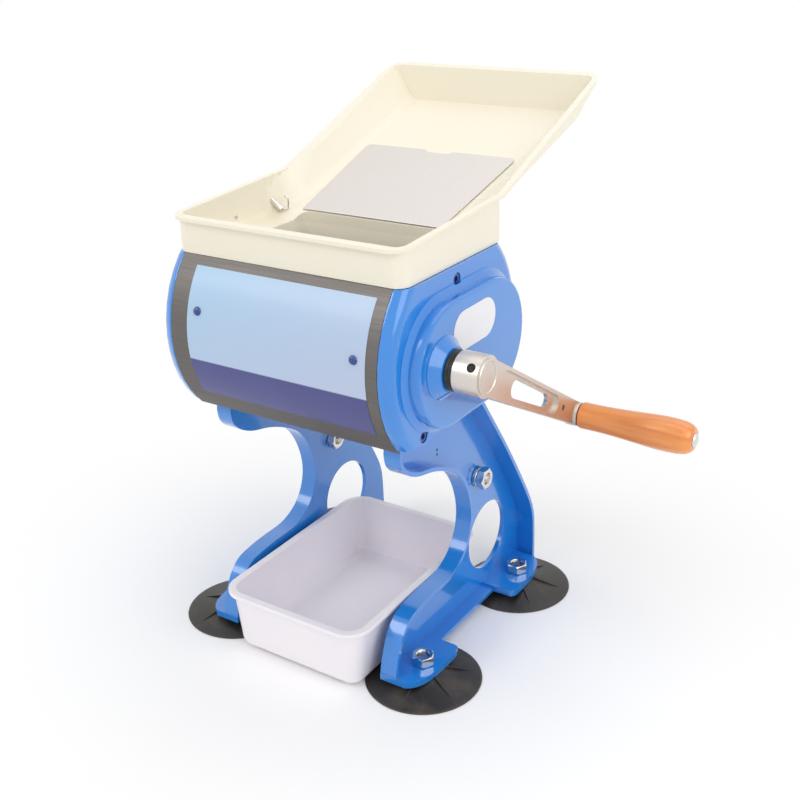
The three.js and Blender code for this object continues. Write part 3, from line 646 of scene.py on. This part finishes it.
def straightenBrim(bm, look):
    # where the tray folds into the chute, the rim's inner edge is drawn out to one line
    start, end = look["stretch"]
    for corner in bm.verts:
        x, y, z = corner.co - machineMiddle
        if look["within"] < abs(x) < look["line"] and start < y < end and z > look["above"]:
            corner.co.x = machineMiddle.x + math.copysign(look["line"], x)


bodies = frame["record"]["behaviour"]["bodies"]
bodyOf = {name: body for body, names in bodies.items() for name in names}

castings = {
    "right_side_frame": {"edge": 0.0008, "finish": blueEnamel, "flow": True},
    "left_side_frame": {"edge": 0.0008, "finish": blueEnamel, "flow": True},
    "gear_cover": {"edge": 0.0009, "finish": blueEnamel},
    "left_cover": {"edge": 0.0009, "finish": blueEnamel},
    "hopper": {"edge": 0.0008, "finish": cream, "brim": hopperBrim},
    "catch_tub": {"edge": 0.0005, "finish": tubWhite},
    "crank_arm": {"edge": 0.0006, "finish": zinc},
    "front_panel": {"edge": 0.0002, "finish": panelSteel},
    "rear_panel": {"edge": 0.0002, "finish": panelSteel},
    "cover_plate": {"edge": 0.0003, "finish": plateSteel},
    "front_comb": {"edge": 0.0003, "finish": steelPlain},
    "rear_comb": {"edge": 0.0003, "finish": steelPlain},
    "drive_gear": {"edge": 0.0003, "finish": steelPlain},
    "driven_gear": {"edge": 0.0003, "finish": steelPlain},
}
for side in sides:
    for end in ends:
        castings[f"{end}_bush_{side}"] = {"edge": 0.0003, "finish": bronze}
        castings[f"{end}_rivet_{side}"] = {"edge": 0.0002, "finish": navy}
    castings[f"frame_washer_{side}"] = {"edge": 0.0004, "finish": chrome}
    for place in ("upper", "lower"):
        # the cover screws take the dark navy: partly their own paint, partly painted shade of their
        # recesses
        castings[f"cover_screw_{place}_{side}"] = {"edge": 0.0003, "finish": navy}

for name, look in castings.items():
    made = copyOf(name)
    if look.get("flow"):
        flowFacets(made, curveLook)
    if look.get("brim"):
        straightenBrim(made, look["brim"])
    piece = showPiece(made, name + "_cast", bodyOf[name], look["finish"], (name,))
    roundOff(piece, look["edge"])

print("turned pieces")


def spun(profile, middle, along="X", steps=64, closed=False):
    # (radius, distance) pairs turned about a line through a point
    bm = bmesh.new()
    corners = [bm.verts.new((radius, 0, distance)) for radius, distance in profile]
    edges = [bm.edges.new(pair) for pair in zip(corners, corners[1:])]
    if closed:
        edges.append(bm.edges.new((corners[-1], corners[0])))
    bmesh.ops.spin(
        bm,
        geom=corners + edges,
        cent=(0, 0, 0),
        axis=(0, 0, 1),
        angle=math.tau,
        steps=steps,
        use_merge=True,
    )
    bmesh.ops.remove_doubles(bm, verts=bm.verts, dist=1e-6)
    bmesh.ops.recalc_face_normals(bm, faces=bm.faces)
    turn = Matrix.Rotation(math.pi / 2, 4, "Y") if along == "X" else Matrix()
    bmesh.ops.transform(bm, matrix=Matrix.Translation(middle) @ turn, verts=bm.verts)
    return bm


def thread(radius, start, end, pitch=0.00125, depth=0.0006):
    count = round(abs(end - start) / pitch)
    step = (end - start) / count
    ridges = []
    for turn in range(count):
        ridges.append((radius - depth, start + turn * step))
        ridges.append((radius, start + (turn + 0.5) * step))
    return [*ridges, (radius - depth, end)]


cupLook = {
    "ribs": 6,
    "ribTurn": {"front_right": -21, "rear_right": 17, "front_left": 8, "rear_left": 32},
    "ribFrom": 0.011,
    "ribTo": 0.035,
    "ribHalf": 0.0007,
    "ribRise": 0.0015,
    "socket": 0.0043,
    # the upper skin from crown to rim, as shares of the cup's radius and height
    "skirt": (
        (0.3, 1),
        (0.34, 0.95),
        (0.42, 0.8),
        (0.55, 0.6),
        (0.7, 0.43),
        (0.86, 0.27),
        (0.97, 0.16),
    ),
}


def suctionCup(end, side, look):
    node = f"suction_cup_{end}_{side}"
    low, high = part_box(node)
    radius, height = (high.x - low.x) / 2, high.z - low.z
    skirt = flowing([(radius * out, height * up) for out, up in look["skirt"]], 3)
    profile = [
        (0, height - 0.003),
        (look["socket"], height - 0.003),
        (look["socket"], height),
        *skirt,
        (radius - 0.0002, 0.0009),
        (radius, 0.0005),
        (radius - 0.0004, 0),
        (radius * 0.86, 0),
        (radius * 0.82, 0.001),
        (radius * 0.5, 0.002),
        (0, 0.0022),
    ]
    middle = Vector(((low.x + high.x) / 2, (low.y + high.y) / 2, low.z))
    made = spun(profile, middle, "Z", 72)
    for count in range(look["ribs"]):
        angle = math.radians(look["ribTurn"][f"{end}_{side}"] + count * 360 / look["ribs"])
        cupRib(made, middle, angle, skirt, look)
    showPiece(made, node + "_moulded", "frame", rubber, (node,), 50)


def cupRib(bm, middle, angle, skirt, look):
    # a thin moulded rib that runs down the skirt and dies out in it
    line = [point for point in skirt if look["ribFrom"] < point[0] < look["ribTo"]]
    crest = [(r, z + look["ribRise"] * min(1, (look["ribTo"] - r) / 0.012)) for r, z in line]
    base = [(r, z - 0.0005) for r, z in line]
    ring = [bm.verts.new((r, 0, z)) for r, z in base + crest[::-1]]
    rib = bm.faces.new(ring)
    grown = bmesh.ops.extrude_face_region(bm, geom=[rib], use_keep_orig=True)
    far = [item for item in grown["geom"] if isinstance(item, bmesh.types.BMVert)]
    bmesh.ops.translate(bm, vec=(0, 2 * look["ribHalf"], 0), verts=far)
    every = ring + far
    bmesh.ops.translate(bm, vec=(0, -look["ribHalf"], 0), verts=every)
    bmesh.ops.transform(
        bm,
        matrix=Matrix.Translation(middle) @ Matrix.Rotation(angle, 4, "Z"),
        verts=every,
    )
    faces = list({face for corner in every for face in corner.link_faces})
    bmesh.ops.recalc_face_normals(bm, faces=faces)


for side in sides:
    for end in ends:
        suctionCup(end, side, cupLook)

studLook = {"radius": 0.004, "chamfer": 0.0009}


def threadedStud(node, along, look):
    low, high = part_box(node)
    axis = "XYZ".index(along)
    start, end, radius, cut = low[axis], high[axis], look["radius"], look["chamfer"]
    profile = [
        (0, start),
        (radius - cut, start),
        *thread(radius, start + cut / 2, end - cut / 2),
        (radius - cut, end),
        (0, end),
    ]
    middle = (low + high) / 2
    middle[axis] = 0
    made = spun(profile, middle, along, 32)
    showPiece(made, node + "_threaded", "frame", steelPlain, (node,))


facingRight = Matrix(((0, 0, 1, 0), (1, 0, 0, 0), (0, 1, 0, 0), (0, 0, 0, 1)))  # Z turned to X

nutLook = {"bore": 0.0043, "countersink": 0.0007, "crown": 0.95, "slope": 0.55, "around": 72}


def hexNut(node, along, look):
    # a hexagon whose corners are turned off to a cone on both faces
    low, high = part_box(node)
    axis = "XYZ".index(along)
    size = high - low
    flats = min(size[i] for i in range(3) if i != axis) / 2
    turned = size[(axis + 1) % 3] > size[(axis + 2) % 3]
    middle = (low + high) / 2
    half, crown, bore = size[axis] / 2, flats * look["crown"], look["bore"]
    bm = bmesh.new()
    rings = []
    for step in range(look["around"]):
        angle = math.tau * step / look["around"]
        reach = flats / math.cos((angle % (math.pi / 3)) - math.pi / 6)
        drop = (reach - crown) * look["slope"]
        line = [
            (bore, half - look["countersink"]),
            (bore + look["countersink"], half),
            (crown, half),
            (reach, half - drop),
            (reach, drop - half),
            (crown, -half),
            (bore + look["countersink"], -half),
            (bore, look["countersink"] - half),
        ]
        turn = Matrix.Rotation(angle + (math.pi / 6 if turned else 0), 4, "Z")
        rings.append([bm.verts.new(turn @ Vector((radius, 0, height))) for radius, height in line])
    for ring, after in zip(rings, rings[1:] + rings[:1]):
        for count in range(len(ring)):
            bm.faces.new((ring[count], ring[count - 1], after[count - 1], after[count]))
    bmesh.ops.recalc_face_normals(bm, faces=bm.faces)
    stand = facingRight if along == "X" else Matrix()
    bmesh.ops.transform(bm, matrix=Matrix.Translation(middle) @ stand, verts=bm.verts)
    showPiece(bm, node + "_turned", "frame", chrome, (node,), 14)


for side in sides:
    threadedStud(f"frame_stud_{side}", "X", studLook)
    for place in ("inner", "outer"):
        hexNut(f"frame_nut_{place}_{side}", "X", nutLook)
    for end in ends:
        threadedStud(f"foot_stud_{end}_{side}", "Z", studLook)
        hexNut(f"foot_nut_{end}_{side}", "Z", nutLook)

bladeLook = {
    "pitch": 0.01,
    "thick": 0.0015,
    "edge": 0.00012,
    "sleeve": 0.013,
    "bore": 0.0083,
    "chamfer": 0.0004,
}


def bladeSet(node, count, look):
    # knife discs ground on both faces, with their spacing sleeves between them
    low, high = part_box(node)
    radius = (high.z - low.z) / 2
    middle = (low.x + high.x) / 2
    bore, sleeve, cut = look["bore"], look["sleeve"], look["chamfer"]
    profile = [(bore, low.x), (sleeve - cut, low.x), (sleeve, low.x + cut)]
    for blade in range(count):
        x = middle + (blade - (count - 1) / 2) * look["pitch"]
        half = look["thick"] / 2
        profile += [
            (sleeve, x - half),
            (radius * 0.82, x - half * 0.72),
            (radius, x - look["edge"] / 2),
            (radius, x + look["edge"] / 2),
            (radius * 0.82, x + half * 0.72),
            (sleeve, x + half),
        ]
    profile += [(sleeve, high.x - cut), (sleeve - cut, high.x), (bore, high.x)]
    centre = Vector((0, (low.y + high.y) / 2, (low.z + high.z) / 2))
    made = spun(profile, centre, "X", 72, closed=True)
    showPiece(made, node + "_ground", bodyOf[node], bladeSteel, (node,), 25)


bladeSet("front_blades", 12, bladeLook)
bladeSet("rear_blades", 11, bladeLook)

shaftLook = {"chamfer": 0.0008}


def shaft(node, look):
    low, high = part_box(node)
    radius = (high.z - low.z) / 2
    cut = look["chamfer"]
    profile = [(0, low.x), (radius - cut, low.x), (radius, low.x + cut)]
    profile += [(radius, high.x - cut), (radius - cut, high.x), (0, high.x)]
    centre = Vector((0, (low.y + high.y) / 2, (low.z + high.z) / 2))
    made = spun(profile, centre, "X", 48)
    showPiece(made, node + "_ground", bodyOf[node], steelPlain, (node,))


shaft("drive_shaft", shaftLook)
shaft("rear_shaft", shaftLook)

sealLook = {"bore": 0.0083, "lip": 0.0009}


def shaftSeal(look):
    low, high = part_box("shaft_seal")
    radius, bore, lip = (high.z - low.z) / 2, look["bore"], look["lip"]
    length = high.x - low.x
    profile = [
        (bore, low.x),
        (radius - lip, low.x),
        (radius, low.x + lip),
        (radius, low.x + length * 0.42),
        (radius - lip, low.x + length * 0.52),
        (radius - lip, low.x + length * 0.7),
        (radius - lip * 0.4, low.x + length * 0.8),
        (radius - lip * 0.4, high.x - lip * 0.6),
        (radius - lip * 1.2, high.x),
        (bore, high.x),
    ]
    centre = Vector((0, (low.y + high.y) / 2, (low.z + high.z) / 2))
    made = spun(profile, centre, "X", 64, closed=True)
    showPiece(made, "shaft_seal_moulded", "frame", rubber, ("shaft_seal",))


shaftSeal(sealLook)

gripLook = {
    "bore": 0.0038,
    # radius as a share of the belly's, along the grip from its neck to its end
    "shape": (
        (0.62, 0.0),
        (0.76, 0.012),
        (0.79, 0.035),
        (0.785, 0.12),
        (0.8, 0.23),
        (0.85, 0.38),
        (0.92, 0.53),
        (0.985, 0.67),
        (1.0, 0.78),
        (0.975, 0.87),
        (0.9, 0.94),
        (0.76, 0.982),
        (0.62, 1.0),
    ),
}


def woodGrip(look):
    low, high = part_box("grip")
    radius, length = (high.z - low.z) / 2, high.x - low.x
    shape = [(radius * wide, low.x + length * far) for wide, far in look["shape"]]
    profile = [(look["bore"], low.x), *flowing(shape, 4), (look["bore"], high.x)]
    centre = Vector((0, (low.y + high.y) / 2, (low.z + high.z) / 2))
    made = spun(profile, centre, "X", 72, closed=True)
    showPiece(made, "grip_turned", "grip", wood, ("grip",))


woodGrip(gripLook)

pinLook = {"shank": 0.0035, "inner": 0.0022, "outer": 0.0022}


def gripPin(look):
    low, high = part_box("grip_pin")
    radius, shank = (high.z - low.z) / 2, look["shank"]
    inner, outer = low.x + look["inner"], high.x - look["outer"]
    profile = [
        (0, low.x),
        (radius * 0.7, low.x + 0.0002),
        (radius, low.x + 0.0009),
        (radius, inner),
        (shank, inner),
        (shank, outer),
        (radius, outer),
        (radius * 0.97, outer + 0.0006),
        (radius * 0.82, outer + 0.0014),
        (radius * 0.5, high.x - 0.0002),
        (0, high.x),
    ]
    centre = Vector((0, (low.y + high.y) / 2, (low.z + high.z) / 2))
    made = spun(profile, centre, "X", 40)
    showPiece(made, "grip_pin_turned", "crank", chrome, ("grip_pin",))


gripPin(pinLook)

print("small details")


def atMachine(x, y, z):
    return machineMiddle + Vector((x, y, z))


throatLook = {
    "half": 0.062,
    "front": -0.07,
    "rear": 0.0057,
    "corner": 0.01,
    "wall": 0.002,
    "depth": 0.017,
    "proud": 0.0002,  # of the throat's own wall, so that the two skins don't lie in one place
    "overlap": 0.0034,
    "round": 0.0006,
}


def throatRing(bm, look, out, height):
    # a rounded oblong in plan, the given distance outside the throat's wall
    corner = look["corner"]
    left, right = corner - look["half"], look["half"] - corner
    front, rear = look["front"] + corner, look["rear"] - corner
    ring = []
    corners = ((right, rear), (left, rear), (left, front), (right, front))
    for quarter, (x, y) in enumerate(corners):
        for step in range(9):
            angle = math.radians(quarter * 90 + step * 11.25)
            reach = corner + out
            spot = atMachine(x + reach * math.cos(angle), y + reach * math.sin(angle), height)
            ring.append(bm.verts.new(spot))
    return ring


def throatFunnel(look):
    # the moulding runs on down from the tray into the drum, round the feed throat
    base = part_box("hopper")[0].z
    low = base - look["depth"]
    wall, proud, soft = look["wall"], -look["proud"], look["round"]
    outline = (
        (0.0003, base + look["overlap"]),
        (proud, base + 0.0002),
        (proud, low + soft),
        (0.0004, low),
        (wall - soft, low),
        (wall, low + soft),
        (wall, base + 0.001),
    )
    bm = bmesh.new()
    rings = [throatRing(bm, look, out, height) for out, height in outline]
    for ring, after in zip(rings, rings[1:] + rings[:1]):
        for count in range(len(ring)):
            bm.faces.new((ring[count - 1], ring[count], after[count], after[count - 1]))
    bmesh.ops.recalc_face_normals(bm, faces=bm.faces)
    showPiece(bm, "throat_funnel", "frame", cream)


throatFunnel(throatLook)

clipLook = {
    "pin": ((-0.0872, 0.0048, 0.3148), (-0.0755, 0.0024, 0.3092)),
    "pinRadius": 0.0019,
    "wire": (
        (-0.0765, 0.0026, 0.3096),
        (-0.0722, 0.0044, 0.3102),
        (-0.0715, 0.0048, 0.3122),
        (-0.0715, 0.0048, 0.3172),
        (-0.0724, 0.005, 0.3186),
        (-0.075, 0.0054, 0.3187),
    ),
    "wireRadius": 0.00065,
}


def rounded(name, points, radius, body, material):
    # a round bar or wire through points that are given from the machine's middle
    curve = bpy.data.curves.new(name, "CURVE")
    curve.dimensions = "3D"
    curve.bevel_depth = radius
    curve.bevel_resolution = 5
    curve.use_fill_caps = True
    line = curve.splines.new("POLY")
    line.points.add(len(points) - 1)
    for point, place in zip(line.points, points):
        point.co = (*atMachine(*place), 1)
    curve.materials.append(material)
    piece = bpy.data.objects.new(name, curve)
    bpy.context.scene.collection.objects.link(piece)
    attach(piece, body)


rounded("clip_pin", clipLook["pin"], clipLook["pinRadius"], "frame", chrome)
clipWire = flowing(clipLook["wire"], 6)
rounded("clip_wire", clipWire, clipLook["wireRadius"], "frame", chrome)

hopperScrewLook = {"place": (-0.0882, -0.0345, 0.3109), "radius": 0.0017, "rise": 0.0009}
webDotLook = {
    "x": 0.07,
    "y": -0.0217,
    "heights": (0.1582, 0.1545),
    "radius": 0.0009,
    "rise": 0.0003,
}


def tack(name, place, outward, look, body, material):
    # a small domed head that stands on a face
    radius, rise = look["radius"], look["rise"]
    root = -0.001
    dome = [(radius, rise * 0.3), (radius * 0.8, rise * 0.75), (0, rise)]
    profile = [(0, root), (radius, root), *dome]
    made = spun(profile, (0, 0, 0), "Z", 24)
    turn = Vector((0, 0, 1)).rotation_difference(Vector(outward)).to_matrix().to_4x4()
    bmesh.ops.transform(made, matrix=Matrix.Translation(atMachine(*place)) @ turn, verts=made.verts)
    showPiece(made, name, body, material)


screwPlace = hopperScrewLook["place"]
tack("hopper_screw", screwPlace, (1, 0, 0.08), hopperScrewLook, "frame", chrome)
for count, height in enumerate(webDotLook["heights"]):
    spot = (webDotLook["x"], webDotLook["y"], height)
    tack(f"web_dot_{count}", spot, (1, 0, 0), webDotLook, "frame", darkSteel)

hubLook = {
    "pastShaft": 0.0033,  # the hub's outer face beyond the shaft's end
    "discRadius": 0.0118,
    "discRise": 0.0011,
    "screwBack": 0.0054,  # from the hub's outer face
    "screwTurn": 39.2,  # degrees up from the front
    "screwRadius": 0.003,
}


def hubTrim(look):
    # the turned disc on the hub's end and the grub screw that holds it to the shaft
    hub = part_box("crank_arm")
    centre = Vector((0, middleOf("drive_shaft").y, middleOf("drive_shaft").z))
    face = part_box("drive_shaft")[1].x + look["pastShaft"]
    radius, rise = look["discRadius"], look["discRise"]
    profile = [
        (0, face - 0.001),
        (radius, face - 0.001),
        (radius, face + rise * 0.6),
        (radius - rise * 0.4, face + rise),
        (radius - 0.0016, face + rise),
        (radius - 0.002, face + rise * 0.45),
        (radius * 0.4, face + rise * 0.6),
        (0, face + rise * 0.62),
    ]
    made = spun(profile, centre, "X", 64)
    showPiece(made, "hub_disc", "crank", zinc)
    hubRadius = hub[1].z - centre.z
    size = look["screwRadius"]
    screw = [
        (0, hubRadius + 0.0001),
        (size * 0.52, hubRadius + 0.0001),
        (size * 0.58, hubRadius + 0.0004),
        (size * 0.88, hubRadius + 0.0004),
        (size, hubRadius + 0.0001),
        (size, hubRadius - 0.0016),
        (0, hubRadius - 0.0016),
    ]
    made = spun(screw, (0, 0, 0), "Z", 32)
    turn = Matrix.Rotation(math.radians(90 - look["screwTurn"]), 4, "X")
    spot = Vector((face - look["screwBack"], centre.y, centre.z))
    bmesh.ops.transform(made, matrix=Matrix.Translation(spot) @ turn, verts=made.verts)
    showPiece(made, "hub_grub_screw", "crank", darkSteel)


hubTrim(hubLook)

print("label and sticker")

drumMiddle = Vector((machineMiddle.x, middleOf("left_cover").y, middleOf("drive_shaft").z))
drumRadius = sizeOf("left_cover").y / 2

labelLook = {
    "left": -0.0705,
    "right": 0.0765,
    "top": 37.5,  # degrees up round the drum from its front
    "bottom": -29,
    "bandTop": -8.4,
    "lift": 0.00004,
    "thick": 0.00012,
    "sky": linear(168, 201, 230),
    "haze": linear(186, 195, 220),
    "band": linear(66, 70, 138),
    "bandDeep": linear(58, 60, 124),
}


def labelPrint(look):
    finish = Finish("labelPrint", Coat_Weight=0.25, Coat_Roughness=0.2)
    apart = finish.add("ShaderNodeSeparateXYZ", {}, [finish.place()], output=0)
    parts = [Wire(finish, socket) for socket in apart.socket.node.outputs]
    rise = parts[2] - drumMiddle.z
    ahead = drumMiddle.y - parts[1]
    angle = rise.maths("ARCTAN2", ahead)
    low, high = math.radians(look["bottom"]), math.radians(look["top"])
    up = (angle - low) / (high - low)
    across = (parts[0] - (machineMiddle.x + look["left"])) / (look["right"] - look["left"])
    field = finish.mix((across * 0.45 + (1 - up) * 0.6).clamped(), look["sky"], look["haze"])
    edge = (math.radians(look["bandTop"]) - low) / (high - low)
    inBand = ((edge - up) * 90 + 0.5).clamped()
    cloud = finish.noise(finish.place(), 30, 3)
    band = finish.mix(cloud, look["band"], look["bandDeep"])
    finish.feed("Base Color", finish.mix(inBand, field, band))
    finish.feed("Roughness", finish.noise(finish.place(), 320, 2) * 0.06 + 0.34)
    return finish.material


def frontLabel(look):
    inner = drumRadius + look["lift"]
    outer = inner + look["thick"]
    start = math.radians(look["top"])
    bm = bmesh.new()
    ring = []
    for x, radius in (("left", inner), ("right", inner), ("right", outer), ("left", outer)):
        place = Vector((look[x], -radius * math.cos(start), radius * math.sin(start)))
        ring.append(bm.verts.new(drumMiddle + place))
    strip = bm.faces.new(ring)
    bmesh.ops.spin(
        bm,
        geom=[strip, *strip.edges, *strip.verts],
        cent=drumMiddle,
        axis=(1, 0, 0),
        angle=math.radians(look["top"] - look["bottom"]),
        steps=60,
        use_merge=False,
    )
    bmesh.ops.recalc_face_normals(bm, faces=bm.faces)
    showPiece(bm, "front_label", "frame", labelPrint(look))


frontLabel(labelLook)

stickerLook = {
    "y": -0.0295,
    "z": 0.262,
    "straight": 0.027,
    "radius": 0.0135,
    "thick": 0.0002,
    "setback": 0.007,  # the shaft boss stands this far out of the housing's face
    "color": linear(238, 238, 242),
}


def faceSticker(look):
    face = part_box("gear_cover")[1].x - look["setback"]
    bm = bmesh.new()
    ring = bmesh.ops.create_circle(bm, cap_ends=True, segments=48, radius=look["radius"])["verts"]
    for corner in ring:
        corner.co.x += math.copysign(look["straight"] / 2, corner.co.x)
    grown = bmesh.ops.extrude_face_region(bm, geom=bm.faces[:], use_keep_orig=True)
    far = [item for item in grown["geom"] if isinstance(item, bmesh.types.BMVert)]
    bmesh.ops.translate(bm, vec=(0, 0, look["thick"]), verts=far)
    bmesh.ops.recalc_face_normals(bm, faces=bm.faces)
    place = Vector((face + 0.00005, machineMiddle.y + look["y"], look["z"]))
    bmesh.ops.transform(bm, matrix=Matrix.Translation(place) @ facingRight, verts=bm.verts)
    finish = Finish("stickerVinyl", color=look["color"], Coat_Weight=0.25)
    finish.feed("Roughness", finish.noise(finish.place(), 90, 3) * 0.12 + 0.26)
    finish.bump(finish.noise(finish.place(), 240, 2), 0.00001)
    showPiece(bm, "face_sticker", "frame", finish.material)


faceSticker(stickerLook)
